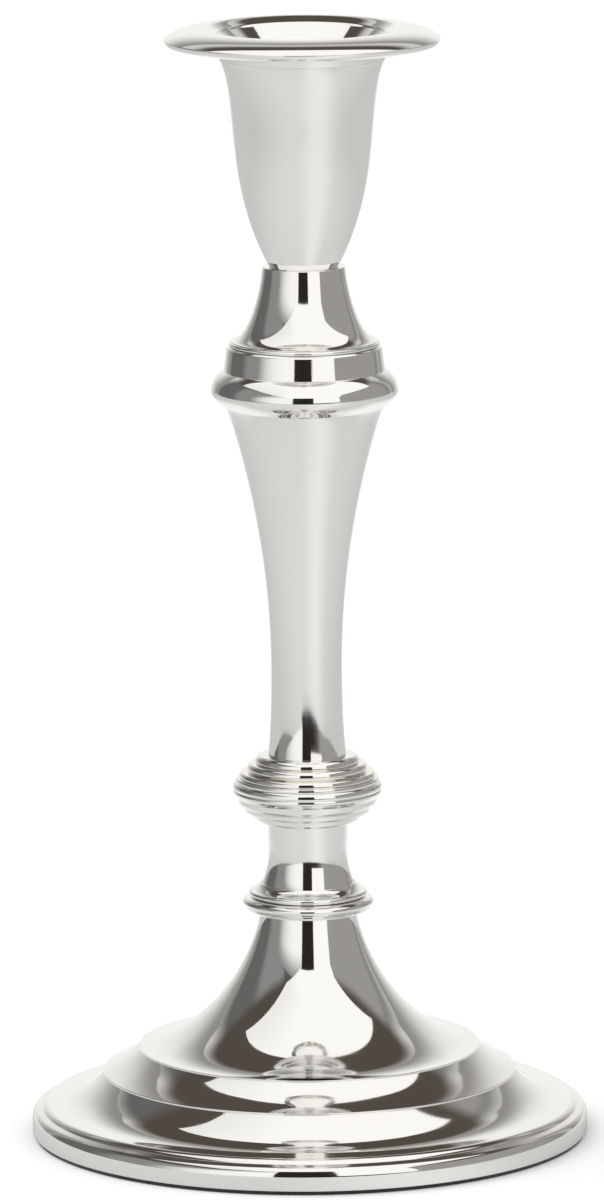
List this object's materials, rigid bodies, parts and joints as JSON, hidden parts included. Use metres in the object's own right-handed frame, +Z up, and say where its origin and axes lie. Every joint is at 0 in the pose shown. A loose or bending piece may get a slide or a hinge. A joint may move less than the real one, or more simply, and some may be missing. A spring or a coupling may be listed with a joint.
{
  "type": "candlestick",
  "caption": "Silver-plated table candlestick: weighted stepped foot, baluster stem with knop and collar, vase-shaped cup, and a lift-off drip pan whose sleeve takes a standard dinner candle.",
  "frame": {"origin": "on the axis at the underside of the felt pad, where the candlestick stands on the table", "axes": "+Z up along the axis, from the foot to the drip pan; X and Y lie in the table's plane"},
  "size_m": [0.1108, 0.1108, 0.222],
  "materials": {
    "silver_plate": "polished silver plate",
    "inner_steel": "plain turned steel",
    "ballast": "as cast",
    "felt": "pressed felt"
  },
  "bodies": {
    "stick": {"felt_pad": "felt", "base_plate": "inner_steel", "foot_weight": "ballast", "foot_shell": "silver_plate", "foot_ring": "silver_plate", "lower_neck": "silver_plate", "knop": "silver_plate", "stem": "silver_plate", "shoulder_bead": "silver_plate", "collar_band": "silver_plate", "collar_ring": "silver_plate", "neck": "silver_plate", "candle_cup": "silver_plate", "tie_rod": "inner_steel", "foot_washer": "inner_steel", "foot_nut": "inner_steel", "cup_washer": "inner_steel", "cup_nut": "inner_steel"},
    "nozzle": {"drip_pan": "silver_plate", "candle_sleeve": "silver_plate"}
  },
  "joints": [
    {"name": "nozzle_lift", "type": "slide", "parent": "stick", "child": "nozzle", "axis": [0, 0, 1], "range_m": [0, 0.03]}
  ]
}
